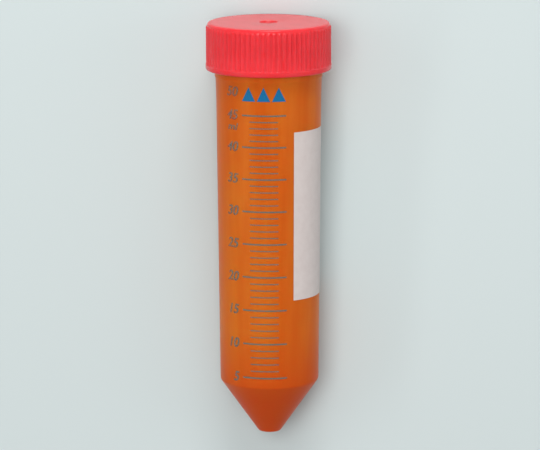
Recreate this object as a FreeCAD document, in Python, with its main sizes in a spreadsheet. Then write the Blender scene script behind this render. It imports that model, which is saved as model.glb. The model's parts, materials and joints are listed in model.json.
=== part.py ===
import FreeCAD, Part
import math
import os

import Sketcher

# A capped 50 ml conical centrifuge tube, lying on its side as it comes to rest.
#
# Every sub-part is drawn upright in the tube's own frame: Z runs up the axis from the tip, and the
# scale faces -Y. One placement then lays the whole tube down, with the cap towards +Y and the scale
# facing up, resting on the shoulder above its cone and on the lip of its cap.

doc = FreeCAD.newDocument("conical_tube")
sheet = doc.addObject("Spreadsheet::Sheet", "sizes")

# Driving dimensions, in millimetres and degrees.
SIZES = {
    # tube: one moulding in polypropylene
    "tube_length": 113.8,
    "shoulder_radius": 13.7,
    "barrel_draft": 0.54,
    "barrel_wall": 0.9,
    "bore_draft": 0.54,
    "cone_height": 15.2,
    "cone_wall": 1.0,
    "tip_radius": 3.0,
    "tip_thickness": 1.4,
    "tip_break": 0.6,
    "shoulder_break": 0.35,
    # neck, with the collar that shows under the cap
    "neck_height": 10.8,
    "neck_wall": 0.7,
    "mouth_ease": 0.08,
    "mouth_depth": 5.0,
    "mouth_step": 0.5,
    "collar_proud": 0.345,
    "collar_height": 2.35,
    "collar_flare": 5.5,
    "flare_rise": 0.12,
    "collar_slope": 0.6,
    # cap: one moulding with a plug seal
    "cap_height": 12.95,
    "cap_top_thickness": 1.5,
    "skirt_wall": 1.55,
    "thread_room": 1.3,
    "lip_height": 1.5,
    "lip_break": 0.35,
    "cap_top_break": 0.35,
    "plug_depth": 3.5,
    "plug_wall": 1.0,
    "plug_clearance": 0.05,
    "rim_gap": 0.02,
    # ribs round the cap's skirt
    "rib_count": 72,
    "rib_depth": 0.36,
    "lip_step": 0.1,
    "rib_foot_width": 1.1,
    "rib_crest_width": 0.42,
    "rib_end_slope": 0.4,
    "top_band": 0.75,
    # gate mark in the middle of the cap's top
    "gate_radius": 2.55,
    "gate_depth": 0.45,
    "gate_nub_radius": 0.55,
    "gate_nub_height": 0.35,
    # print: ink films on the barrel, just clear of it so that flat facets of the two never cross
    "ink_clearance": 0.02,
    "ink_thickness": 0.03,
    "panel_base": 39.8,
    "panel_height": 46.9,
    "panel_angle": 118.0,
    "panel_turn": 34.2,
    "first_mark": 5,
    "last_mark": 45,
    "major_step": 5,
    "first_mark_height": 18.1,
    "major_line_length": 12.1,
    "major_line_width": 0.4,
    "minor_line_length": 7.8,
    "minor_line_width": 0.28,
    "triangle_base": 3.7,
    "triangle_height": 3.9,
    "triangle_pitch": 4.15,
    "triangle_foot": 95.45,
    # turn of the scale away from straight up, as the tube lies
    "rest_roll": -0.9,
}

for row, (alias, number) in enumerate(SIZES.items(), start=1):
    sheet.set(f"A{row}", alias)
    sheet.set(f"B{row}", str(number))
    sheet.setAlias(f"B{row}", alias)
doc.recompute()

# Sizes that follow from the driving ones, as formulas of the sheet.
DRAFT = "tan(sizes.barrel_draft * 1deg)"
BORE_DRAFT = "tan(sizes.bore_draft * 1deg)"
CONE_SPREAD = "((sizes.shoulder_radius - sizes.tip_radius) / sizes.cone_height)"
CONE_INSET = f"(sizes.cone_wall * sqrt(1 + {CONE_SPREAD} ^ 2))"
BORE_FOOT_RADIUS = "(sizes.shoulder_radius - sizes.barrel_wall)"
BORE_FOOT_HEIGHT = f"(({BORE_FOOT_RADIUS} + {CONE_INSET} - sizes.tip_radius) / {CONE_SPREAD})"
COLLAR_BASE = "(sizes.tube_length - sizes.neck_height - sizes.collar_height)"
FLARE_BASE = f"({COLLAR_BASE} - sizes.collar_slope - sizes.collar_flare)"
SHOULDER_HEAD = "(sizes.cone_height + sizes.shoulder_break)"
CAP_BASE = "(sizes.tube_length + sizes.rim_gap + sizes.cap_top_thickness - sizes.cap_height)"
RIB_HEAD = "(sizes.cap_height - sizes.top_band)"
RIB_SPAN = f"({RIB_HEAD} - sizes.lip_height)"

DRAFTED = "drafted"
EDGE_TOLERANCE = 0.01
X_AXIS = FreeCAD.Vector(1, 0, 0)
Z_AXIS = FreeCAD.Vector(0, 0, 1)


def value(formula):
    """The number that a formula of the sheet gives now."""
    result = sheet.evalExpression(formula)
    return float(getattr(result, "Value", result))


def barrel_radius(height):
    """Formula of the barrel's outer radius at a height above the tip."""
    return f"(sizes.shoulder_radius + ({height} - sizes.cone_height) * {DRAFT})"


def bore_radius(height):
    """Formula of the bore's radius at a height above the tip."""
    return f"({BORE_FOOT_RADIUS} + ({height} - {BORE_FOOT_HEIGHT}) * {BORE_DRAFT})"


# Radii that follow one another outwards, from the bore to the lip of the cap.
FLARE_HEAD = f"({COLLAR_BASE} - sizes.collar_slope)"
FLARE_RADIUS = f"({barrel_radius(FLARE_HEAD)} + sizes.flare_rise)"
COLLAR_RADIUS = f"({barrel_radius(COLLAR_BASE)} + sizes.collar_proud)"
MOUTH_FOOT = "(sizes.tube_length - sizes.mouth_depth)"
BORE_HEAD = f"({MOUTH_FOOT} - sizes.mouth_step)"
MOUTH_RADIUS = f"({bore_radius(BORE_HEAD)} + sizes.mouth_ease)"
NECK_RADIUS = f"({MOUTH_RADIUS} + sizes.neck_wall)"
CAP_BORE_RADIUS = f"({NECK_RADIUS} + sizes.thread_room)"
LIP_RADIUS = f"({CAP_BORE_RADIUS} + sizes.skirt_wall)"
CREST_RADIUS = f"({LIP_RADIUS} - sizes.lip_step)"
BAND_RADIUS = f"({CREST_RADIUS} - sizes.rib_depth)"

# How far the back and the face of the ink lie over the barrel.
INK_BACK = "sizes.ink_clearance"
INK_FACE = "(sizes.ink_clearance + sizes.ink_thickness)"


def origin_feature(body, role):
    """One of the body's own origin planes or axes."""
    return next(feature for feature in body.Origin.OriginFeatures if feature.Role == role)


def new_sketch(body, name, role, height="0"):
    """A sketch on one of the body's origin planes, raised by a formula's height."""
    sketch = body.newObject("Sketcher::SketchObject", name)
    sketch.AttachmentSupport = [(origin_feature(body, role), "")]
    sketch.MapMode = "FlatFace"
    if height != "0":
        sketch.setExpression(".AttachmentOffset.Base.z", height)
    return sketch


def straight_spline(start, end):
    """A straight side as a spline of degree one, whose turned face meshes as one row of plain strips."""
    side = Part.BSplineCurve()
    side.buildFromPoles([start, end], False, 1)
    return side


def draw_outline(sketch, corners):
    """Close a polygon through corners, each a pair of formulas that drive the sketch's constraints.

    A third item, DRAFTED, marks a corner where a long drafted wall starts.
    """
    points = [FreeCAD.Vector(value(corner[0]), value(corner[1]), 0) for corner in corners]
    count = len(points)
    for i, corner in enumerate(corners):
        draw_side = straight_spline if DRAFTED in corner[2:] else Part.LineSegment
        sketch.addGeometry(draw_side(points[i], points[(i + 1) % count]), False)
    for i in range(count):
        sketch.addConstraint(Sketcher.Constraint("Coincident", i, 2, (i + 1) % count, 1))
    for i, (across, up, *_) in enumerate(corners):
        for kind, formula, axis in (("DistanceX", across, -2), ("DistanceY", up, -1)):
            if formula == "0":
                sketch.addConstraint(Sketcher.Constraint("PointOnObject", i, 1, axis))
                continue
            index = sketch.addConstraint(Sketcher.Constraint(kind, -1, 1, i, 1, value(formula)))
            sketch.setExpression(f"Constraints[{index}]", formula)


def revolve(body, kind, name, sketch, angle=360.0):
    """A Revolution or Groove of a sketch about the body's Z axis."""
    feature = body.newObject(f"PartDesign::{kind}", name)
    feature.Profile = sketch
    feature.ReferenceAxis = (sketch, ["V_Axis"])
    feature.Angle = angle
    sketch.Visibility = False
    doc.recompute()
    return feature


def ring_edges(shape, rings):
    """Names of the round edges about Z with the given radii and heights."""
    names = []
    for radius, height in rings:
        for number, edge in enumerate(shape.Edges, start=1):
            if not isinstance(edge.Curve, Part.Circle):
                continue
            centre = edge.Curve.Center
            misses = (edge.Curve.Radius - value(radius), centre.z - value(height), centre.x, centre.y)
            if max(abs(miss) for miss in misses) < EDGE_TOLERANCE:
                names.append(f"Edge{number}")
                break
        else:
            raise ValueError(f"no round edge at radius {radius}, height {height}")
    return names


def break_edges(body, name, rings, size):
    """A chamfer on the body's round edges, its size bound to the sheet."""
    base = body.Tip
    feature = body.newObject("PartDesign::Chamfer", name)
    feature.Base = (base, ring_edges(base.Shape, rings))
    feature.setExpression("Size", size)
    doc.recompute()
    return feature


def make_tube():
    """Tip, cone, drafted barrel, collar and neck: one moulding, turned from one profile."""
    body = doc.addObject("PartDesign::Body", "tube")
    floor_radius = f"(sizes.tip_radius - {CONE_INSET} + sizes.tip_thickness * {CONE_SPREAD})"
    collar_head = f"({COLLAR_BASE} + sizes.collar_height)"
    profile = new_sketch(body, "tube_profile", "XZ_Plane")
    draw_outline(profile, [
        ("0", "0"),
        ("sizes.tip_radius", "0"),
        (f"sizes.shoulder_radius - sizes.shoulder_break * {CONE_SPREAD}",
         "sizes.cone_height - sizes.shoulder_break"),
        (barrel_radius(SHOULDER_HEAD), SHOULDER_HEAD, DRAFTED),
        (barrel_radius(FLARE_BASE), FLARE_BASE, DRAFTED),
        (FLARE_RADIUS, FLARE_HEAD),
        (COLLAR_RADIUS, COLLAR_BASE),
        (COLLAR_RADIUS, collar_head),
        (NECK_RADIUS, collar_head),
        (NECK_RADIUS, "sizes.tube_length"),
        (MOUTH_RADIUS, "sizes.tube_length"),
        (MOUTH_RADIUS, MOUTH_FOOT),
        (bore_radius(BORE_HEAD), BORE_HEAD, DRAFTED),
        (BORE_FOOT_RADIUS, BORE_FOOT_HEIGHT),
        (floor_radius, "sizes.tip_thickness"),
        ("0", "sizes.tip_thickness"),
    ])
    revolve(body, "Revolution", "tube_turning", profile)
    break_edges(body, "tip_breaking", [("sizes.tip_radius", "0")], "sizes.tip_break")
    return body


def make_cap():
    """Ribbed skirt, lip, flat top and plug seal: one moulding, drawn with its lower edge at zero."""
    body = doc.addObject("PartDesign::Body", "cap")
    ceiling = "(sizes.cap_height - sizes.cap_top_thickness)"
    plug_radius = f"({MOUTH_RADIUS} - sizes.plug_clearance)"
    plug_foot = f"({ceiling} - sizes.plug_depth)"
    profile = new_sketch(body, "cap_profile", "XZ_Plane")
    draw_outline(profile, [
        ("0", "sizes.cap_height"),
        (BAND_RADIUS, "sizes.cap_height"),
        (BAND_RADIUS, "sizes.lip_height"),
        (LIP_RADIUS, "sizes.lip_height"),
        (LIP_RADIUS, "0"),
        (CAP_BORE_RADIUS, "0"),
        (CAP_BORE_RADIUS, ceiling),
        (plug_radius, ceiling),
        (plug_radius, plug_foot),
        (f"{plug_radius} - sizes.plug_wall", plug_foot),
        (f"{plug_radius} - sizes.plug_wall", ceiling),
        ("0", ceiling),
    ])
    revolve(body, "Revolution", "cap_turning", profile)
    break_edges(body, "top_breaking", [(BAND_RADIUS, "sizes.cap_height")], "sizes.cap_top_break")
    break_edges(body, "lip_breaking", [(LIP_RADIUS, "0")], "sizes.lip_break")
    cut_gate_mark(body)
    add_ribs(body)
    return body


def cut_gate_mark(body):
    """A shallow round recess in the top, with the broken-off gate as a nub in its middle."""
    floor = "(sizes.cap_height - sizes.gate_depth)"
    profile = new_sketch(body, "gate_profile", "XZ_Plane")
    draw_outline(profile, [
        ("0", f"{floor} + sizes.gate_nub_height"),
        ("sizes.gate_nub_radius", f"{floor} + sizes.gate_nub_height"),
        ("sizes.gate_nub_radius", floor),
        ("sizes.gate_radius", floor),
        ("sizes.gate_radius", "sizes.cap_height"),
        ("0", "sizes.cap_height"),
    ])
    revolve(body, "Groove", "gate_mark", profile)


def add_ribs(body):
    """Ribs from the lip to the band under the top: one wedge with a sloped head, repeated round the skirt.

    The wedge's Y runs outwards from a back sunk in the skirt to the crest, and its Z runs up the cap.
    """
    rib = body.newObject("PartDesign::AdditiveWedge", "rib")
    back_width = "(2 * sizes.rib_foot_width - sizes.rib_crest_width)"
    edges = {
        "Xmin": f"-{back_width} / 2",
        "Xmax": f"{back_width} / 2",
        "X2min": "-sizes.rib_crest_width / 2",
        "X2max": "sizes.rib_crest_width / 2",
        "Ymin": "-2 * sizes.rib_depth",
        "Ymax": "0",
        "Zmin": "0",
        "Z2min": "0",
        "Zmax": f"{RIB_SPAN} + sizes.rib_end_slope",
        "Z2max": f"{RIB_SPAN} - sizes.rib_end_slope",
    }
    for edge, formula in edges.items():
        rib.setExpression(edge, formula)
    rib.Placement.Rotation = FreeCAD.Rotation(Z_AXIS, -90)
    rib.setExpression("Placement.Base.x", CREST_RADIUS)
    rib.setExpression("Placement.Base.z", "sizes.lip_height")
    doc.recompute()
    ring = body.newObject("PartDesign::PolarPattern", "rib_ring")
    ring.Originals = [rib]
    ring.Axis = (origin_feature(body, "Z_Axis"), [""])
    ring.Angle = 360
    ring.setExpression("Occurrences", "sizes.rib_count")
    body.Tip = ring
    doc.recompute()


def make_writing_panel():
    """The white writing area: an ink film wrapped on the barrel, a quarter turn from the scale."""
    body = doc.addObject("PartDesign::Body", "writing_panel")
    head = "(sizes.panel_base + sizes.panel_height)"
    profile = new_sketch(body, "panel_profile", "XZ_Plane")
    draw_outline(profile, [
        (f"{barrel_radius('sizes.panel_base')} + {INK_BACK}", "sizes.panel_base"),
        (f"{barrel_radius('sizes.panel_base')} + {INK_FACE}", "sizes.panel_base", DRAFTED),
        (f"{barrel_radius(head)} + {INK_FACE}", head),
        (f"{barrel_radius(head)} + {INK_BACK}", head, DRAFTED),
    ])
    film = revolve(body, "Revolution", "panel_film", profile)
    film.setExpression("Angle", "sizes.panel_angle")
    doc.recompute()
    return body


def mark_height(millilitres):
    """Formula of the height at which the drafted bore holds a volume, counted from the first mark."""
    start = bore_radius("sizes.first_mark_height")
    cubed = f"({start} ^ 3 + 3 * {BORE_DRAFT} * 1000 * ({millilitres} - sizes.first_mark) / pi)"
    return f"(sizes.first_mark_height + (cbrt({cubed}) - {start}) / {BORE_DRAFT})"


def make_ink_skin():
    """A thin sleeve of ink all round the barrel, as high as the scale and its triangles reach."""
    skin = doc.addObject("PartDesign::Body", "ink_skin")
    profile = new_sketch(skin, "skin_profile", "XZ_Plane")
    draw_outline(profile, [
        (f"{barrel_radius(SHOULDER_HEAD)} + {INK_BACK}", SHOULDER_HEAD),
        (f"{barrel_radius(SHOULDER_HEAD)} + {INK_FACE}", SHOULDER_HEAD, DRAFTED),
        (f"{barrel_radius(FLARE_BASE)} + {INK_FACE}", FLARE_BASE, DRAFTED),
        (f"{FLARE_RADIUS} + {INK_FACE}", FLARE_HEAD),
        (f"{FLARE_RADIUS} + {INK_BACK}", FLARE_HEAD, DRAFTED),
        (f"{barrel_radius(FLARE_BASE)} + {INK_BACK}", FLARE_BASE, DRAFTED),
    ])
    revolve(skin, "Revolution", "skin_turning", profile)
    return skin


def add_line(millilitres, length, width):
    """A block across the barrel's front, from which a scale line is cut."""
    block = doc.addObject("Part::Box", f"line_{millilitres}_ml")
    block.setExpression("Length", length)
    block.setExpression("Height", width)
    block.setExpression("Width", COLLAR_RADIUS)
    block.setExpression(".Placement.Base.x", f"-{length} / 2")
    block.setExpression(".Placement.Base.y", f"-{COLLAR_RADIUS}")
    block.setExpression(".Placement.Base.z", f"{mark_height(millilitres)} - {width} / 2")
    return block


def add_triangle(number):
    """A three-sided prism across the barrel's front: a wedge whose upper end has no width."""
    middle = f"({number} * sizes.triangle_pitch)"
    wedge = doc.addObject("Part::Wedge", f"triangle_{number + 2}")
    limits = {
        "Xmin": f"{middle} - sizes.triangle_base / 2",
        "Xmax": f"{middle} + sizes.triangle_base / 2",
        "X2min": middle,
        "X2max": middle,
        "Ymin": "0",
        "Ymax": "sizes.triangle_height",
        "Zmin": "0",
        "Zmax": COLLAR_RADIUS,
        "Z2min": "0",
        "Z2max": COLLAR_RADIUS,
    }
    for limit, formula in limits.items():
        wedge.setExpression(limit, formula)
    wedge.Placement = FreeCAD.Placement(FreeCAD.Vector(), FreeCAD.Rotation(X_AXIS, 90))
    wedge.setExpression(".Placement.Base.z", "sizes.triangle_foot")
    return wedge


def make_graduation_print():
    """The printed scale: a line for each millilitre, longer ones at each step, and three triangles."""
    first, last, step = (round(value(f"sizes.{name}")) for name in ("first_mark", "last_mark", "major_step"))
    marks = []
    for millilitres in range(first, last + 1):
        kind = "major" if millilitres % step == 0 else "minor"
        marks.append(add_line(millilitres, f"sizes.{kind}_line_length", f"sizes.{kind}_line_width"))
    marks += [add_triangle(number) for number in (-1, 0, 1)]
    blocks = doc.addObject("Part::Compound", "mark_blocks")
    blocks.Links = marks
    scale = doc.addObject("Part::Common", "graduation_print")
    scale.Base = make_ink_skin()
    scale.Tool = blocks
    doc.recompute()
    return scale


def resting_line():
    """Tilt of the axis, and its height over the floor at the tip, when the tube lies on its side.

    In the profile's plane the floor is the line through the shoulder's corner and the lip's.
    """
    shoulder_radius, shoulder_height = value(barrel_radius(SHOULDER_HEAD)), value(SHOULDER_HEAD)
    lip_radius, lip_height = value(LIP_RADIUS), value(f"{CAP_BASE} + sizes.lip_break")
    tilt = math.atan2(lip_radius - shoulder_radius, lip_height - shoulder_height)
    height = shoulder_radius * math.cos(tilt) - shoulder_height * math.sin(tilt)
    return math.degrees(tilt), height


def lay_down(placements):
    """Place the sub-parts, drawn upright, as the tube lies, with the origin under its middle."""
    tilt, height = resting_line()
    lying = FreeCAD.Placement(FreeCAD.Vector(0, 0, height), FreeCAD.Rotation(X_AXIS, tilt - 90))
    for sub_part, upright in placements.items():
        sub_part.Placement = lying * upright
    boxes = [sub_part.Shape.optimalBoundingBox() for sub_part in placements]
    middle = (min(box.YMin for box in boxes) + max(box.YMax for box in boxes)) / 2
    centred = FreeCAD.Placement(FreeCAD.Vector(0, -middle, 0), FreeCAD.Rotation())
    for sub_part in placements:
        sub_part.Placement = centred * sub_part.Placement
    print(f"axis tilted {tilt:.4f} degrees, tip on the axis at y {-middle:.4f}, z {height:.4f}")


def check_and_export(sub_parts):
    """Stop on any failed feature or bad shape, then write one STEP file for each sub-part."""
    for item in doc.Objects:
        if {"Invalid", "Error"} & set(item.State):
            raise RuntimeError(f"{item.Label} failed: {item.State}")
    for sub_part in sub_parts:
        shape = sub_part.Shape
        if shape.isNull() or not shape.isValid() or not shape.Solids:
            raise RuntimeError(f"{sub_part.Label} has no valid solid")
    os.makedirs("parts", exist_ok=True)
    for sub_part in sub_parts:
        shape = sub_part.Shape
        print(f"{sub_part.Label}: {len(shape.Solids)} solids, {shape.Volume:.1f} cubic mm")
        shape.exportStep(f"parts/{sub_part.Label}.step")


tube = make_tube()
cap = make_cap()
writing_panel = make_writing_panel()
graduation_print = make_graduation_print()

rolled = FreeCAD.Placement(FreeCAD.Vector(), FreeCAD.Rotation(Z_AXIS, -value("sizes.rest_roll")))
seated = FreeCAD.Placement(FreeCAD.Vector(0, 0, value(CAP_BASE)), FreeCAD.Rotation())
turned = FreeCAD.Placement(FreeCAD.Vector(), FreeCAD.Rotation(Z_AXIS, value("sizes.panel_turn") - 90))
lay_down({
    tube: rolled,
    cap: rolled * seated,
    writing_panel: rolled * turned,
    graduation_print: rolled,
})
check_and_export([tube, cap, writing_panel, graduation_print])
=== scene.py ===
# %% [markdown]
# # A 50 ml conical tube
# The tube is a thin amber shell with a ribbed red screw cap, a blue printed scale and a white
# writing panel. It lies on its side, as an unheld tube does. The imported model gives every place
# and size; this lesson adds what the eye wants: rounded edges, threads, digits and finishes.

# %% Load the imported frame
import json
import math

import bpy
import numpy as np
from mathutils import Matrix, Vector


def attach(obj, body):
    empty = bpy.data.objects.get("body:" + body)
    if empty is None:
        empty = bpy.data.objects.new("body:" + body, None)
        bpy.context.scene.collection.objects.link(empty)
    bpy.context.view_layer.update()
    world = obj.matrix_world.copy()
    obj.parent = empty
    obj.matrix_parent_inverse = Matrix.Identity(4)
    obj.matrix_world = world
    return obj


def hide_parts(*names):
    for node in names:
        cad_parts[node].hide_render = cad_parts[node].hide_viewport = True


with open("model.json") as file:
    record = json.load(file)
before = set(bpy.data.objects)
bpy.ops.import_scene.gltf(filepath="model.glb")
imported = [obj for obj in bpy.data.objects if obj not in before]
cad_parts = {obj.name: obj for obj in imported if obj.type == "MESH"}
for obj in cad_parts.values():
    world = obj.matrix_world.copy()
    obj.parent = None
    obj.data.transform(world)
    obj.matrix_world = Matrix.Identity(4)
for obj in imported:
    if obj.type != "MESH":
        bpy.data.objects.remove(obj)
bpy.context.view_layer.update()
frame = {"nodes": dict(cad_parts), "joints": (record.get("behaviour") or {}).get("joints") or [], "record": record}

MM = 0.001
print("frame nodes:", sorted(frame["nodes"]))

# %% [markdown]
# ## The tube's own axes
# The tube lies tilted, because its cap is wider than its barrel, and rolled a little to one side.
# It could be drawn upright and laid down at the end, but then nothing could be measured from the
# frame on the way. So everything is worked out in heights above the tip, radii, and angles round
# the axis. The axis comes from the joint that lifts the cap, a point on it from the collar's
# mount, and the angles are counted from just beside the printed scale. Sizes of the tube are in
# millimetres and angles in degrees; the floor, the lamps and the camera's place are in metres.

# %% Axis, tip and a way from turned to room positions
SCALE_TO_FRONT = 5.6
LEVEL = np.array([1.0, 0.0, 0.0])
AXIS = np.array(frame["joints"][0]["axis"], dtype=float)
AXIS /= np.linalg.norm(AXIS)
COLLAR_MOUNT = next(m for m in frame["record"]["mounts"] if m["name"] == "rack_collar")
COLLAR_POINT = np.array(COLLAR_MOUNT["pos_m"], dtype=float)


def directions(turn):
    """The tube's front and right after a turn in radians; before it they are up and level."""
    up = np.cross(LEVEL, AXIS)
    front = up * math.cos(turn) + LEVEL * math.sin(turn)
    right = LEVEL * math.cos(turn) - up * math.sin(turn)
    return front, right


def node_points(node):
    """The vertices of a CAD node, in metres."""
    mesh = frame["nodes"][node].data
    points = np.empty(len(mesh.vertices) * 3)
    mesh.vertices.foreach_get("co", points)
    return points.reshape(-1, 3)


def turned(points, origin):
    """Height along the axis, radius and angle from the front, in millimetres and degrees."""
    away = points - origin
    across = away @ RIGHT
    out = away @ FRONT
    return away @ AXIS / MM, np.hypot(across, out) / MM, np.degrees(np.arctan2(across, out))


FRONT, RIGHT = directions(0.0)
TIP = COLLAR_POINT + AXIS * turned(node_points("tube"), COLLAR_POINT)[0].min() * MM
scale_angle = turned(node_points("graduation_print"), TIP)[2]
FRONT_TURN = math.radians((scale_angle.min() + scale_angle.max()) / 2 + SCALE_TO_FRONT)
FRONT, RIGHT = directions(FRONT_TURN)


def room(height, radius, angle):
    """Room positions, in metres, of heights and radii in millimetres and angles in degrees."""
    height, radius, angle = np.broadcast_arrays(height, radius, np.radians(angle))
    out = np.sin(angle)[..., None] * RIGHT + np.cos(angle)[..., None] * FRONT
    return TIP + (height[..., None] * AXIS + radius[..., None] * out) * MM


print("tip at", np.round(TIP, 5), "axis", np.round(AXIS, 5))
print(f"front turned {math.degrees(FRONT_TURN):.2f} degrees from straight up")

# %% [markdown]
# ## What the frame measures
# Each CAD node is asked for its rings: pairs of height and radius. The outlines below are built
# from them, so that the dressed tube keeps the size of the plain one. A ring is named by pointing
# near it, and the frame gives its exact place. Typing the sizes in again would be shorter, but
# they would be wrong as soon as the plain tube changed.

# %% Read the rings of the tube and the cap
RIM_BAND = 0.05
COLLAR_BAND = 0.01


def rings(node):
    """Distinct (height, radius) pairs of a turned node, rounded to a hundredth of a millimetre."""
    height, radius, _ = turned(node_points(node), TIP)
    return np.unique(np.round(np.column_stack([height, radius]), 2), axis=0)


tube_rings = rings("tube")
cap_rings = rings("cap")
TUBE_LENGTH = tube_rings[:, 0].max()
COLLAR_RADIUS = tube_rings[:, 1].max()
at_rim = tube_rings[tube_rings[:, 0] > TUBE_LENGTH - RIM_BAND]
NECK_RADIUS = at_rim[:, 1].max()
MOUTH_RADIUS = at_rim[:, 1].min()
at_collar = tube_rings[tube_rings[:, 1] > COLLAR_RADIUS - COLLAR_BAND]
COLLAR_BASE = at_collar[:, 0].min()
COLLAR_HEAD = at_collar[:, 0].max()
CAP_BASE = cap_rings[:, 0].min()
CAP_TOP = cap_rings[:, 0].max()
LIP_RADIUS = cap_rings[:, 1].max()
print(f"tube {TUBE_LENGTH:.2f} long, neck r {NECK_RADIUS:.2f}, mouth r {MOUTH_RADIUS:.2f}")
print(f"collar r {COLLAR_RADIUS:.2f} from {COLLAR_BASE:.2f} to {COLLAR_HEAD:.2f}")
print(f"cap {CAP_BASE:.2f} to {CAP_TOP:.2f}, lip r {LIP_RADIUS:.2f}")


# %% Name the rings between the ends
def ring_near(pairs, height, radius):
    """The ring nearest to a height and radius, as (radius, height)."""
    found = pairs[np.argmin(np.hypot(pairs[:, 0] - height, pairs[:, 1] - radius))]
    return float(found[1]), float(found[0])


CONE_HEAD = ring_near(tube_rings, 14.85, 13.45)
BARREL_FOOT = ring_near(tube_rings, 15.55, 13.7)
FLARE_FOOT = ring_near(tube_rings, 94.5, 14.45)
FLARE_HEAD = ring_near(tube_rings, 100.05, 14.62)
MOUTH_FOOT = ring_near(tube_rings, 108.8, 13.75)
BORE_HEAD = ring_near(tube_rings, 108.3, 13.6)
BORE_FOOT = ring_near(tube_rings, 15.7, 12.8)
CONE_FLOOR = ring_near(tube_rings, 1.4, 2.76)
CAP_BORE_RADIUS = ring_near(cap_rings, CAP_BASE, 15.75)[0]
print("barrel from", BARREL_FOOT, "to", FLARE_FOOT, "and bore from", BORE_FOOT, "to", BORE_HEAD)

# %% [markdown]
# ## Turning on a lathe
# Most of this object is a turned form, so the first helper is a lathe: a closed outline of
# (radius, height) points, spun round the axis. Blender's Screw modifier could spin it too, but
# rows written out here can also wave in and out, which the cap's ribs need. Moulded plastic has
# no knife edges, so a second helper swaps a corner of the outline for a small arc.

# %% Round the corners of an outline
def rounded(outline, steps=5):
    """The outline's (radius, height) points, with an arc for a corner that has a third number."""
    points = []
    for i, corner in enumerate(outline):
        if len(corner) == 2:
            points.append(corner)
            continue
        here = Vector(corner[:2])
        arc_radius = corner[2]
        before = Vector(outline[i - 1][:2]) - here
        after = Vector(outline[(i + 1) % len(outline)][:2]) - here
        half = before.angle(after) / 2
        reach = arc_radius / math.tan(half)
        start = here + before.normalized() * reach
        end = here + after.normalized() * reach
        middle = (before.normalized() + after.normalized()).normalized()
        centre = here + middle * (arc_radius / math.sin(half))
        sweep = (start - centre).angle_signed(end - centre)
        for k in range(steps + 1):
            spoke = start - centre
            spoke.rotate(Matrix.Rotation(-sweep * k / steps, 2))
            points.append(tuple(centre + spoke))
    return points


print("a rounded corner has", len(rounded([(0, 0), (1, 0, 0.1), (1, 1)])) - 2, "points")


# %% Spin an outline
def spin(outline, columns, wave=None):
    """Points and faces of a closed outline spun round the axis.

    wave, if given, takes a radius, a height and the angles, and returns the radii to use.
    """
    angles = np.arange(columns) * 360 / columns
    points, rows = [], []
    for radius, height in np.array(outline, dtype=float):
        if radius == 0:
            rows.append([len(points)] * columns)
            points.append(room(height, 0.0, 0.0))
            continue
        reach = np.full(columns, radius) if wave is None else wave(radius, height, angles)
        rows.append(range(len(points), len(points) + columns))
        points.extend(room(height, reach, angles))
    faces = []
    for lower, upper in zip(rows, rows[1:] + rows[:1]):
        if lower[0] == lower[1] and upper[0] == upper[1]:
            continue
        for i in range(columns):
            j = (i + 1) % columns
            loop = [lower[i], lower[j], upper[j], upper[i]]
            loop = [v for k, v in enumerate(loop) if v != loop[k - 1]]
            faces.append(loop[::-1])
    return points, faces


# %% Join meshes, and make an object that rides on the frame
def joined(*parts):
    """Several lists of points and faces as one."""
    points, faces = [], []
    for part_points, part_faces in parts:
        offset = len(points)
        points.extend(part_points)
        faces.extend([[v + offset for v in face] for face in part_faces])
    return points, faces


def new_object(name, points, faces, body, sharp=35):
    """A smooth-shaded mesh that rides on a CAD body, with edges over the sharp angle kept crisp."""
    mesh = bpy.data.meshes.new(name)
    mesh.from_pydata([tuple(p) for p in points], [], faces)
    mesh.validate()
    mesh.update()
    mesh.shade_smooth()
    mesh.set_sharp_from_angle(angle=math.radians(sharp))
    piece = bpy.data.objects.new(name, mesh)
    bpy.context.scene.collection.objects.link(piece)
    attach(piece, body)
    print(f"{name}: {len(mesh.vertices)} vertices, {len(mesh.polygons)} faces")
    return piece


# %% [markdown]
# ## Screw threads
# A thread is a ridge that climbs as it turns, fading into the wall at both ends where the
# mould's screw stops. The Screw modifier could sweep it, but would end it in a blunt step, so it
# is written out as a row of sections. One function makes it for the neck, where it stands out,
# and for the cap, where it stands in. A few turns are enough, as on the real tube.

# %% Sweep a ridge along a helix
THREAD_PITCH = 3.2
THREAD_TURNS = 2.0
THREAD_RISE = 0.5
THREAD_SINK = 0.15
THREAD_FOOT_WIDTH, THREAD_CREST_WIDTH = 1.5, 0.6
FADE_TURNS = 0.2
END_RISE, END_WIDTH = 0.03, 0.2
SECTIONS_PER_TURN = 96


def eased(share):
    """A share from 0 to 1 that starts and ends gently."""
    return share * share * (3 - 2 * share)


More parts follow.
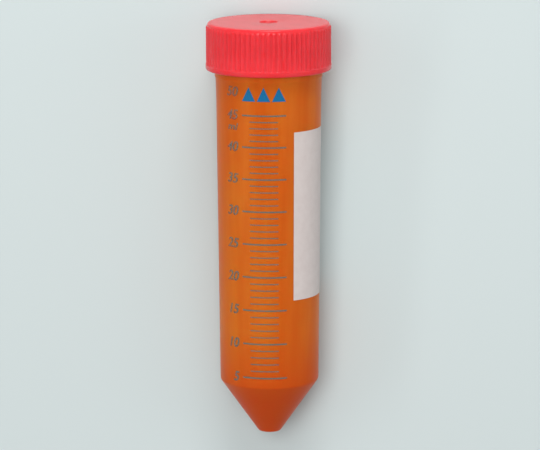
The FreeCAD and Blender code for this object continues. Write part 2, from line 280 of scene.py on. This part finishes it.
def thread(wall_radius, foot_height, inward, start_angle=0.0):
    """Points and faces of a tapered helical ridge, sunk a little into a wall, inward or outward."""
    count = int(THREAD_TURNS * SECTIONS_PER_TURN) + 1
    side = -1 if inward else 1
    sunk = wall_radius - side * THREAD_SINK
    points, faces = [], []
    for k in range(count):
        turns = THREAD_TURNS * k / (count - 1)
        fade = eased(min(1.0, turns / FADE_TURNS, (THREAD_TURNS - turns) / FADE_TURNS))
        wide = THREAD_FOOT_WIDTH / 2 * max(fade, END_WIDTH)
        narrow = THREAD_CREST_WIDTH / 2 * max(fade, END_WIDTH)
        crest = wall_radius + side * THREAD_RISE * max(fade, END_RISE)
        height = foot_height + THREAD_PITCH * turns
        angle = start_angle - 360 * turns
        section = [(sunk, -wide), (wall_radius, -wide), (crest, -narrow),
                   (crest, narrow), (wall_radius, wide), (sunk, wide)]
        points.extend(room(height + rise, radius, angle) for radius, rise in section)
    size = len(section)
    for k in range(count - 1):
        for i in range(size):
            a = k * size + i
            b = k * size + (i + 1) % size
            loop = [a, b, b + size, a + size]
            faces.append(loop if inward else loop[::-1])
    first = list(range(size))
    last = list(range((count - 1) * size, count * size))
    faces.append(first[::-1] if inward else first)
    faces.append(last if inward else last[::-1])
    return points, faces


print(f"a thread climbs {THREAD_PITCH * THREAD_TURNS:.1f} mm in {THREAD_TURNS:.0f} turns")

# %% [markdown]
# ## Colours and node helpers
# Colours are written as sRGB hex, as a paint chart would, and one function makes them linear.
# Nodes could be added one call at a time, but that hides the recipe behind the wiring. So one
# more function adds a node with its settings and links, and every material below uses it.

# %% Hex colours, one node maker
def linear(hex_code):
    """Linear colour of an sRGB hex value, by the formula of the sRGB standard."""
    channels = [int(hex_code[i:i + 2], 16) / 255 for i in (1, 3, 5)]
    return [c / 12.92 if c <= 0.04045 else ((c + 0.055) / 1.055) ** 2.4 for c in channels] + [1.0]


def add_node(tree, kind, links=None, **settings):
    """A node of a kind. Settings name its properties or input sockets; links feed its sockets."""
    node = tree.nodes.new(kind)
    for key, setting in settings.items():
        if hasattr(node, key):
            setattr(node, key, setting)
        else:
            node.inputs[key.replace("_", " ")].default_value = setting
    for socket, source in (links or {}).items():
        tree.links.new(source, node.inputs[socket])
    return node


def new_material(name):
    """An empty material, its node tree and its output node."""
    material = bpy.data.materials.new(name)
    material.use_nodes = True
    tree = material.node_tree
    tree.nodes.clear()
    return material, tree, add_node(tree, "ShaderNodeOutputMaterial")


def dress(piece, material):
    """Give a piece its material."""
    piece.data.materials.clear()
    piece.data.materials.append(material)


print("the middle grey #808080 is", round(linear("#808080")[0], 3), "in linear light")

# %% [markdown]
# ## Amber polypropylene
# The tube is injection-moulded polypropylene, tinted amber to keep light from what it holds. It is
# milky rather than clear: light goes into the wall and comes out again a few millimetres away, so
# the colour glows a little and the gloss is soft. A transmissive wall could be used, but it shows
# pale rims that a milky one lacks, so subsurface scattering does the work. Faint flow streaks run
# from the gate at the tip up to the mouth. Towards the tip the colour is a shade deeper: painted
# shade, apart from the thicker plastic of the solid tip itself. The mould's real grain is finer
# than a tenth of a millimetre and is drawn coarser, so that it shows.

# %% Amber polypropylene, moulded
STREAK_WIDTH, STREAK_LENGTH = 6 * MM, 60 * MM
# Where the painted shade towards the tip is full, and where it has faded out.
TIP_SHADE_FULL, TIP_SHADE_END = 10 * MM, 30 * MM
AMBER_GRAIN = 0.8 * MM
GRAIN_DEPTH = 0.02 * MM


def make_amber():
    """Milky orange plastic with flow streaks, painted shade towards the tip and a fine grain."""
    material, tree, out = new_material("amber_polypropylene_moulded")
    place = add_node(tree, "ShaderNodeTexCoord")
    streak_space = add_node(tree, "ShaderNodeMapping", {"Vector": place.outputs["Object"]},
                            Scale=(1 / STREAK_WIDTH, 1 / STREAK_LENGTH, 1 / STREAK_WIDTH))
    streaks = add_node(tree, "ShaderNodeTexNoise", {"Vector": streak_space.outputs[0]},
                       Scale=1.0, Detail=3.0, Roughness=0.55)
    tint = add_node(tree, "ShaderNodeValToRGB", {"Fac": streaks.outputs["Fac"]})
    stops = tint.color_ramp.elements
    for stop, position, hex_code in zip(stops, (0.3, 0.7), ("#CE5813", "#D96D1F")):
        stop.position = position
        stop.color = linear(hex_code)
    # Painted shade: the colour deepens to #C94811 towards the tip, far beyond the solid tip's thicker plastic.
    along = add_node(tree, "ShaderNodeSeparateXYZ", {"Vector": place.outputs["Object"]})
    painted_tip_shade = add_node(tree, "ShaderNodeMapRange", {"Value": along.outputs["Y"]},
                     From_Min=float(TIP[1]) + TIP_SHADE_END,
                     From_Max=float(TIP[1]) + TIP_SHADE_FULL)
    deep = add_node(tree, "ShaderNodeMixRGB",
                    {"Fac": painted_tip_shade.outputs[0], "Color1": tint.outputs["Color"]},
                    Color2=linear("#C94811"))
    grain = add_node(tree, "ShaderNodeTexNoise", {"Vector": place.outputs["Object"]},
                     Scale=1 / AMBER_GRAIN, Detail=2.0)
    bump = add_node(tree, "ShaderNodeBump", {"Height": grain.outputs["Fac"]}, Strength=0.08,
                    Distance=GRAIN_DEPTH)
    plastic = add_node(tree, "ShaderNodeBsdfPrincipled",
                       {"Base Color": deep.outputs["Color"], "Normal": bump.outputs["Normal"]},
                       Roughness=0.34, IOR=1.49, Specular_IOR_Level=0.07, Subsurface_Weight=0.6,
                       Subsurface_Radius=(1.0, 0.2, 0.08), Subsurface_Scale=5.0 * MM)
    tree.links.new(plastic.outputs[0], out.inputs["Surface"])
    return material


amber = make_amber()
print("made", amber.name)

# %% [markdown]
# ## The tube
# The real tube is one shot of plastic: the inside is a bore and a cone, the outside a slightly
# tapered barrel, a small flare and a collar, then the threaded neck. Cones and cylinders could be
# joined, but would leave seams where they meet. One outline has none: it is taken from the
# frame's rings, with the corners rounded as a mould leaves them.

# %% The tube's outline, spun with its thread
TUBE_COLUMNS = 180
TIP_RADIUS = 3.0
SHOULDER_OUT = 0.1
NECK_THREAD_FOOT = 1.9


def make_tube():
    """One closed outline, up the outside and down the inside."""
    shoulder_radius = (CONE_HEAD[0] + BARREL_FOOT[0]) / 2 + SHOULDER_OUT
    shoulder_height = (CONE_HEAD[1] + BARREL_FOOT[1]) / 2
    outline = [
        (0.0, 0.0),
        (TIP_RADIUS, 0.0, 0.9),
        (shoulder_radius, shoulder_height, 1.8),
        FLARE_FOOT,
        FLARE_HEAD,
        (COLLAR_RADIUS, COLLAR_BASE, 0.12),
        (COLLAR_RADIUS, COLLAR_HEAD, 0.2),
        (NECK_RADIUS, COLLAR_HEAD, 0.2),
        (NECK_RADIUS, TUBE_LENGTH, 0.3),
        (MOUTH_RADIUS, TUBE_LENGTH, 0.3),
        MOUTH_FOOT,
        BORE_HEAD,
        (*BORE_FOOT, 1.2),
        (*CONE_FLOOR, 0.8),
        (0.0, CONE_FLOOR[1]),
    ]
    shell = spin(rounded(outline), TUBE_COLUMNS)
    ridge = thread(NECK_RADIUS, COLLAR_HEAD + NECK_THREAD_FOOT, inward=False)
    tube = new_object("tube_moulding", *joined(shell, ridge), "tube")
    dress(tube, amber)
    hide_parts("tube")


make_tube()

# %% [markdown]
# ## Red polypropylene
# The cap is the same plastic, pigmented coral red and nearly opaque. Its mould was polished on top
# and machined between the ribs, so the sides shine in narrow streaks. Plain red paint would do
# from afar, but a little light still goes into the plastic and softens the ribs' shadows, so it
# scatters too. Its grain is drawn coarser than the real one, so that it shows.

# %% Red polypropylene, moulded
PIGMENT_CLOUD = 7 * MM
RED_GRAIN = 0.5 * MM


def make_red():
    """Coral-red pigmented plastic with slight pigment clouds and a fine grain."""
    material, tree, out = new_material("red_polypropylene_moulded")
    place = add_node(tree, "ShaderNodeTexCoord")
    clouds = add_node(tree, "ShaderNodeTexNoise", {"Vector": place.outputs["Object"]},
                      Scale=1 / PIGMENT_CLOUD, Detail=3.0)
    tint = add_node(tree, "ShaderNodeValToRGB", {"Fac": clouds.outputs["Fac"]})
    stops = tint.color_ramp.elements
    for stop, position, hex_code in zip(stops, (0.35, 0.65), ("#DC2F37", "#E3353E")):
        stop.position = position
        stop.color = linear(hex_code)
    grain = add_node(tree, "ShaderNodeTexNoise", {"Vector": place.outputs["Object"]},
                     Scale=1 / RED_GRAIN, Detail=2.0)
    bump = add_node(tree, "ShaderNodeBump", {"Height": grain.outputs["Fac"]}, Strength=0.1,
                    Distance=GRAIN_DEPTH)
    plastic = add_node(tree, "ShaderNodeBsdfPrincipled",
                       {"Base Color": tint.outputs["Color"], "Normal": bump.outputs["Normal"]},
                       Roughness=0.24, IOR=1.49, Specular_IOR_Level=0.23, Subsurface_Weight=0.85,
                       Subsurface_Radius=(1.0, 0.25, 0.25), Subsurface_Scale=3.0 * MM)
    tree.links.new(plastic.outputs[0], out.inputs["Surface"])
    return material


red = make_red()
print("made", red.name)

# %% [markdown]
# ## The cap
# Fine ribs give wet gloves a grip. Each is a rounded ridge whose sloped head catches a small
# glint, between the smooth lip, which slopes out to meet them, and the smooth band under the top.
# An array of wedges joined by booleans could make them, but at the price of hundreds of small
# cuts. Here the wall's radius rises and falls on its way round. The top has a shallow round
# recess where the plastic entered the mould, so that the cut-off gate doesn't stop the cap
# standing flat.

# %% The sizes of the cap's ribs, lip, gate and plug
RIB_COUNT = 72
RIB_COLUMNS = 12
RIB_FOOT_WIDTH, RIB_CREST_WIDTH = 1.32, 0.3
RIB_END = 0.5
RIB_END_ROWS = (0.0, 0.15, 0.5, 0.85, 1.0, 1.15)
LIP_HEIGHT, LIP_SLOPE, LIP_EDGE_DROP = 1.5, 0.5, 0.1
TOP_BAND = 0.75
CREST_INSET, RIB_RISE = 0.1, 0.36
CREST_RADIUS = LIP_RADIUS - CREST_INSET
BAND_RADIUS = CREST_RADIUS - RIB_RISE
WALL_TOLERANCE = 0.02
PLUG_GAP, PLUG_WALL, PLUG_DEPTH = 0.05, 1.0, 3.5
PLUG_RADIUS = MOUTH_RADIUS - PLUG_GAP
CAP_TOP_THICKNESS = 1.5
GATE_RADIUS, GATE_DEPTH, GATE_SLOPE = 2.55, 0.36, 0.2
NUB_RADIUS, NUB_FOOT_RADIUS = 0.5, 0.75
NUB_DROP, NUB_EDGE_DROP = 0.06, 0.1
CAP_THREAD_FOOT, CAP_THREAD_START = 2.6, 180
# Rings that keep the shading of the flat top and of the long ribs level.
TOP_RINGS = (8.0, 14.0)
WALL_RING = 6.0
print(f"{RIB_COUNT} ribs, {RIB_RISE} mm high, on a wall of r {BAND_RADIUS:.2f}")


# %% The cap's outline, waved into ribs and joined with its inside thread
def rib_wave(radius, height, angles):
    """Radii round the cap: the outer wall between lip and band rises into rounded ribs."""
    on_wall = abs(radius - BAND_RADIUS) < WALL_TOLERANCE
    if not on_wall or height < CAP_BASE + LIP_HEIGHT:
        return np.full(len(angles), radius)
    pitch = 360 / RIB_COUNT
    from_rib = np.abs((angles + pitch / 2) % pitch - pitch / 2)
    away = from_rib * math.radians(1) * BAND_RADIUS
    flank = (RIB_FOOT_WIDTH - RIB_CREST_WIDTH) / 2
    ridge = eased(np.clip((RIB_FOOT_WIDTH / 2 - away) / flank, 0, 1))
    below_band = CAP_TOP - TOP_BAND - height
    rise = min(max(below_band / RIB_END, 0.0), 1.0)
    return radius + RIB_RISE * ridge * rise


def make_cap():
    """One closed outline, over the top, down the outside and back up the inside."""
    ceiling = CAP_TOP - CAP_TOP_THICKNESS
    rib_head = CAP_TOP - TOP_BAND
    outline = [
        (0.0, CAP_TOP - NUB_DROP),
        (NUB_RADIUS, CAP_TOP - NUB_EDGE_DROP),
        (NUB_FOOT_RADIUS, CAP_TOP - GATE_DEPTH, 0.1),
        (GATE_RADIUS - GATE_SLOPE, CAP_TOP - GATE_DEPTH, 0.15),
        (GATE_RADIUS, CAP_TOP, 0.12),
        *[(radius, CAP_TOP) for radius in TOP_RINGS],
        (BAND_RADIUS, CAP_TOP, 0.7),
        *[(BAND_RADIUS, rib_head - RIB_END * share) for share in RIB_END_ROWS],
        (BAND_RADIUS, CAP_BASE + WALL_RING),
        (BAND_RADIUS, CAP_BASE + LIP_HEIGHT + LIP_SLOPE),
        (LIP_RADIUS, CAP_BASE + LIP_HEIGHT - LIP_EDGE_DROP, 0.15),
        (LIP_RADIUS, CAP_BASE, 0.45),
        (CAP_BORE_RADIUS, CAP_BASE, 0.3),
        (CAP_BORE_RADIUS, ceiling),
        (PLUG_RADIUS, ceiling),
        (PLUG_RADIUS, ceiling - PLUG_DEPTH, 0.25),
        (PLUG_RADIUS - PLUG_WALL, ceiling - PLUG_DEPTH, 0.25),
        (PLUG_RADIUS - PLUG_WALL, ceiling),
        (0.0, ceiling),
    ]
    # The outline runs the other way from the tube's, so it is reversed for its faces to look out.
    shell = spin(rounded(outline, steps=4)[::-1], RIB_COUNT * RIB_COLUMNS, rib_wave)
    ridge = thread(CAP_BORE_RADIUS, CAP_BASE + CAP_THREAD_FOOT, inward=True,
                   start_angle=CAP_THREAD_START)
    cap = new_object("cap_moulding", *joined(shell, ridge), "cap", sharp=50)
    dress(cap, red)
    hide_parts("cap")


make_cap()

# %% [markdown]
# ## Printed inks
# Scale and panel are screen-printed: a film of ink pushed through a mesh. A picture could be laid
# over the barrel, but real films keep sharp edges from any distance. The triangles are solid
# blue. The lines and digits get a thinner film that lets more than half of the amber through, so
# they look grey. The white film of the panel is matt, so that a pen or pencil takes. The screen
# leaves a mottle, a tenth of a millimetre wide on the real one and drawn coarser, so that it
# shows.

# %% Blue and white screen-print inks
BLUE_MOTTLE, WHITE_MOTTLE = 0.35 * MM, 2.2 * MM
INK_ROUGH_DEPTH = 0.01 * MM


def make_ink(name, deep, pale, mottle_width, roughness, show_through):
    """A film of ink with the screen's mottle, and a share of the plastic that shows through."""
    material, tree, out = new_material(name)
    place = add_node(tree, "ShaderNodeTexCoord")
    mottle = add_node(tree, "ShaderNodeTexNoise", {"Vector": place.outputs["Object"]},
                      Scale=1 / mottle_width, Detail=4.0, Roughness=0.6)
    tint = add_node(tree, "ShaderNodeValToRGB", {"Fac": mottle.outputs["Fac"]})
    stops = tint.color_ramp.elements
    for stop, position, hex_code in zip(stops, (0.35, 0.65), (deep, pale)):
        stop.position = position
        stop.color = linear(hex_code)
    bump = add_node(tree, "ShaderNodeBump", {"Height": mottle.outputs["Fac"]}, Strength=0.3,
                    Distance=INK_ROUGH_DEPTH)
    film = add_node(tree, "ShaderNodeBsdfPrincipled",
                    {"Base Color": tint.outputs["Color"], "Normal": bump.outputs["Normal"]},
                    Roughness=roughness, IOR=1.5, Specular_IOR_Level=0.3, Alpha=1 - show_through)
    tree.links.new(film.outputs[0], out.inputs["Surface"])
    print("made", material.name)
    return material


blue = make_ink("blue_ink_screen_printed", "#0A608F", "#0D6899", BLUE_MOTTLE,
                roughness=0.45, show_through=0.01)
thin_blue = make_ink("blue_ink_screen_printed_thin", "#387A78", "#3F8482", BLUE_MOTTLE,
                     roughness=0.45, show_through=0.58)
white = make_ink("white_ink_screen_printed", "#CDC1BE", "#D1C6C3", WHITE_MOTTLE,
                 roughness=0.6, show_through=0.0)

# %% [markdown]
# ## Lines, triangles and panel
# The lines and triangles are already real films in the frame, so they only get their ink. The
# panel could stay too, but it covers a third of the barrel, where the frame's flat facets would
# show, so it is redrawn as a smooth film over the same heights and angles.

# %% The writing panel
PANEL_FILM = 0.06
PANEL_END = 0.1


def make_panel():
    """A thin film from the panel node's own heights and angles, one column a degree."""
    height, radius, angle = turned(node_points("writing_panel"), TIP)
    low, high = height.min(), height.max()
    low_radius = radius[height < low + PANEL_END].max()
    high_radius = radius[height > high - PANEL_END].max()
    columns = np.linspace(angle.min(), angle.max(), int(angle.max() - angle.min()) + 1)
    count = len(columns)
    section = [(low, low_radius - PANEL_FILM), (low, low_radius),
               (high, high_radius), (high, high_radius - PANEL_FILM)]
    size = len(section)
    points, faces = [], []
    for corner_height, corner_radius in section:
        points.extend(room(corner_height, corner_radius, columns))
    for i in range(size):
        for k in range(count - 1):
            a = i * count + k
            b = (i + 1) % size * count + k
            faces.append([a, a + 1, b + 1, b])
    faces.append([i * count for i in range(size)])
    faces.append([i * count + count - 1 for i in range(size)][::-1])
    panel = new_object("writing_panel_film", points, faces, "tube")
    dress(panel, white)
    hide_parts("writing_panel")
    print(f"panel from {low:.1f} to {high:.1f} mm, {columns[0]:.1f} to {columns[-1]:.1f} degrees")


make_panel()

# %% The printed lines and triangles
TRIANGLE_FOOT = 95.0
print_height, _, print_angle = turned(node_points("graduation_print"), TIP)
scale_print = frame["nodes"]["graduation_print"].data
scale_print.materials.clear()
scale_print.materials.append(blue)
scale_print.materials.append(thin_blue)
for face in scale_print.polygons:
    face.material_index = int(print_height[face.vertices[0]] < TRIANGLE_FOOT)
print(f"scale printed from {print_height.min():.1f} to {print_height.max():.1f} mm")

# %% [markdown]
# ## Digits
# The numbers stand left of their lines. Each is a text object turned to a mesh, then wrapped on
# the barrel: its width becomes an angle and its height a height along the tube. A shrinkwrap
# could press flat text on the barrel, but would stretch the digits that stand far from its
# middle. The solidify modifier gives the film its thickness.

# %% Text wrapped on the barrel
DIGIT_HEIGHT, DIGIT_STRETCH, DIGIT_SLANT = 2.7, 1.02, 0.22
DIGIT_SHARE_OF_SIZE = 0.7
STROKE_SPREAD = 0.045
STROKE_STEPS = 6
INK_FILM = 0.05


def barrel_radius(height):
    """The barrel's outer radius at a height, read between the rings at the bends of its wall."""
    bends = [BARREL_FOOT, FLARE_FOOT, FLARE_HEAD]
    return np.interp(height, [h for _, h in bends], [r for r, _ in bends])


def text_shape(words, tall, stretch):
    """Flat points and faces of a word, centred on its middle height, its right end at zero."""
    curve = bpy.data.curves.new("word", "FONT")
    curve.body = words
    curve.size = tall / DIGIT_SHARE_OF_SIZE
    curve.shear = DIGIT_SLANT
    curve.offset = STROKE_SPREAD
    curve.align_x = "LEFT"
    curve.resolution_u = STROKE_STEPS
    holder = bpy.data.objects.new("word", curve)
    bpy.context.scene.collection.objects.link(holder)
    bpy.context.view_layer.update()
    mesh = bpy.data.meshes.new_from_object(holder)
    flat = np.array([v.co[:2] for v in mesh.vertices])
    faces = [list(f.vertices) for f in mesh.polygons]
    bpy.data.objects.remove(holder)
    bpy.data.curves.remove(curve)
    bpy.data.meshes.remove(mesh)
    flat[:, 0] = (flat[:, 0] - flat[:, 0].max()) * stretch
    flat[:, 1] -= (flat[:, 1].max() + flat[:, 1].min()) / 2
    return flat, faces


def make_label(words, height, right_arc, tall=DIGIT_HEIGHT, stretch=DIGIT_STRETCH):
    """A word as a film on the barrel, which ends right_arc millimetres round from the front."""
    flat, faces = text_shape(words, tall, stretch)
    heights = height + flat[:, 1]
    radii = barrel_radius(heights) + INK_FILM
    angles = np.degrees((right_arc + flat[:, 0]) / radii)
    return list(room(heights, radii, angles)), faces


# %% The numbers and the unit
LABEL_END, LABEL_RISE = -8.9, 0.2
TOP_LABEL_HEIGHT = 97.9
UNIT_HEIGHT, UNIT_TALL, UNIT_STRETCH = 88.2, 1.9, 1.3
LEFT_EDGE_WIDTH = 1.5
LONG_LINE_GAP = 3
MILLILITRES_A_LINE = 5


def long_lines():
    """Heights of the long lines, which are the ones that reach the scale's left edge."""
    at_left_edge = print_angle < print_angle.min() + LEFT_EDGE_WIDTH
    found = []
    for height in np.unique(np.round(print_height[at_left_edge], 1)):
        if not found or height - found[-1] > LONG_LINE_GAP:
            found.append(height)
    print("long lines at", [round(float(height), 1) for height in found])
    return found


def make_digits():
    """All labels of the scale as one print."""
    labels = []
    for k, height in enumerate(long_lines()):
        number = str(MILLILITRES_A_LINE * (k + 1))
        labels.append(make_label(number, height + LABEL_RISE, LABEL_END))
    labels.append(make_label("50", TOP_LABEL_HEIGHT, LABEL_END))
    labels.append(make_label("ml", UNIT_HEIGHT, LABEL_END, UNIT_TALL, UNIT_STRETCH))
    digits = new_object("scale_digits", *joined(*labels), "tube")
    solid = digits.modifiers.new("film", "SOLIDIFY")
    solid.thickness = INK_FILM * MM
    solid.offset = -1
    dress(digits, thin_blue)


make_digits()

# %% [markdown]
# ## Floor
# The tube lies on a pale, plain floor that takes its soft shadow. A curved studio sweep could hide
# the horizon, but a big flat sheet under a backdrop of nearly its own colour is simpler and enough.

# %% A pale floor
FLOOR_REACH = 3.0
FLOOR_DROP = 0.1 * MM


def make_floor():
    """A pale floor under the tube, wide enough for every view."""
    corners = [(-FLOOR_REACH, -FLOOR_REACH, 0), (FLOOR_REACH, -FLOOR_REACH, 0),
               (FLOOR_REACH, FLOOR_REACH, 0), (-FLOOR_REACH, FLOOR_REACH, 0)]
    mesh = bpy.data.meshes.new("floor")
    mesh.from_pydata(corners, [], [(0, 1, 2, 3)])
    floor = bpy.data.objects.new("floor", mesh)
    bpy.context.scene.collection.objects.link(floor)
    floor.location.z = -FLOOR_DROP
    material, tree, out = new_material("floor_pale_grey")
    matt = add_node(tree, "ShaderNodeBsdfDiffuse", Color=linear("#C6D0D0"))
    tree.links.new(matt.outputs[0], out.inputs["Surface"])
    mesh.materials.append(material)
    print(f"floor {2 * FLOOR_REACH:.0f} m wide")


make_floor()

# %% [markdown]
# ## Light
# Five soft lamps stand a metre away: a large one overhead, which is kept out of the gloss so that
# the ribs stay calm, a tall strip at the left that draws the barrel's sheen, a weak fill at the
# right, a large one over the top of the cap, and a narrow one for the glints on the rib heads. One
# big lamp would be simpler, but a turned form needs an edge of light that runs along it. An even
# world light fills the rest.

# %% World light
AMBIENT = 0.32


def make_world():
    """Even grey light on the object; the pale backdrop is only what the camera and gloss see."""
    world = bpy.data.worlds.new("studio")
    world.use_nodes = True
    bpy.context.scene.world = world
    tree = world.node_tree
    tree.nodes.clear()
    path = add_node(tree, "ShaderNodeLightPath")
    camera_or_gloss = add_node(tree, "ShaderNodeMath",
                               {0: path.outputs["Is Camera Ray"],
                                1: path.outputs["Is Glossy Ray"]},
                               operation="MAXIMUM")
    seen = add_node(tree, "ShaderNodeMath",
                    {0: camera_or_gloss.outputs[0], 1: path.outputs["Is Transmission Ray"]},
                    operation="MAXIMUM")
    ambient = add_node(tree, "ShaderNodeBackground", Color=linear("#FFFFFF"), Strength=AMBIENT)
    backdrop = add_node(tree, "ShaderNodeBackground", Color=linear("#D1D6D4"), Strength=1.0)
    mix = add_node(tree, "ShaderNodeMixShader",
                   {0: seen.outputs[0], 1: ambient.outputs[0], 2: backdrop.outputs[0]})
    add_node(tree, "ShaderNodeOutputWorld", {"Surface": mix.outputs[0]})
    print("world light of strength", AMBIENT)


make_world()

# %% Lamps
MIDDLE_HEIGHT = 57.6
BARREL_MIDDLE = Vector(room(MIDDLE_HEIGHT, 0.0, 0.0))


def lamp(name, angle, lean, size, power, length=None):
    """A soft lamp a metre from the barrel's middle, at an angle round it, leaning to the cap."""
    data = bpy.data.lights.new(name, "AREA")
    data.shape = "RECTANGLE"
    data.size = size
    data.size_y = length or size
    data.energy = power
    angle, lean = math.radians(angle), math.radians(lean)
    out = FRONT * math.cos(angle) + RIGHT * math.sin(angle)
    away = out * math.cos(lean) + AXIS * math.sin(lean)
    side = np.cross(AXIS, away)
    side /= np.linalg.norm(side)
    holder = bpy.data.objects.new(name, data)
    holder.matrix_world = Matrix([side, np.cross(away, side), away]).transposed().to_4x4()
    holder.location = BARREL_MIDDLE + Vector(away)
    bpy.context.scene.collection.objects.link(holder)
    return holder


overhead = lamp("overhead", angle=-10, lean=11, size=0.5, power=5.5)
overhead.visible_glossy = False
lamp("strip_left", angle=-56, lean=5, size=0.12, power=1.05, length=0.8)
lamp("fill_right", angle=55, lean=5, size=0.5, power=0.8)
lamp("top_of_cap", angle=5, lean=64, size=0.6, power=3.8)
lamp("rib_glints", angle=4, lean=60, size=0.35, power=2.0, length=0.04)

# %% [markdown]
# ## Camera
# A long lens a metre away keeps the barrel's sides nearly parallel. The camera could be aimed by
# hand, but it is built from the tube's own axes instead, so that it looks down on the lying tube
# and a little onto the top of its cap, however the frame lays it.

# %% Camera
CAMERA_LENS, SENSOR_WIDTH = 232.46, 36.0
CAMERA_SHIFT = (0.0017, 0.0062)
CAMERA_DISTANCE = 0.967
CAMERA_LIFT = 11.39
CAMERA_ROLL = 0.172
CLIP_NEAR, CLIP_FAR = 0.05, 20


def make_camera():
    """Looks at the middle of the barrel from above, leaning towards the cap."""
    data = bpy.data.cameras.new("camera")
    data.sensor_width = SENSOR_WIDTH
    data.lens = CAMERA_LENS
    data.shift_x, data.shift_y = CAMERA_SHIFT
    data.clip_start = CLIP_NEAR
    data.clip_end = CLIP_FAR
    lift = math.radians(CAMERA_LIFT)
    back = Vector(FRONT * math.cos(lift) + AXIS * math.sin(lift))
    top = Vector(AXIS * math.cos(lift) - FRONT * math.sin(lift))
    side = top.cross(back)
    roll = math.radians(CAMERA_ROLL)
    turned_side = side * math.cos(roll) - top * math.sin(roll)
    turned_top = top * math.cos(roll) + side * math.sin(roll)
    camera = bpy.data.objects.new("camera", data)
    pose = Matrix([turned_side, turned_top, back]).transposed().to_4x4()
    pose.translation = BARREL_MIDDLE + back * CAMERA_DISTANCE
    camera.matrix_world = pose
    bpy.context.scene.collection.objects.link(camera)
    bpy.context.scene.camera = camera
    print("camera at", [round(place, 3) for place in pose.translation])


make_camera()
bpy.context.scene.view_settings.view_transform = "Standard"
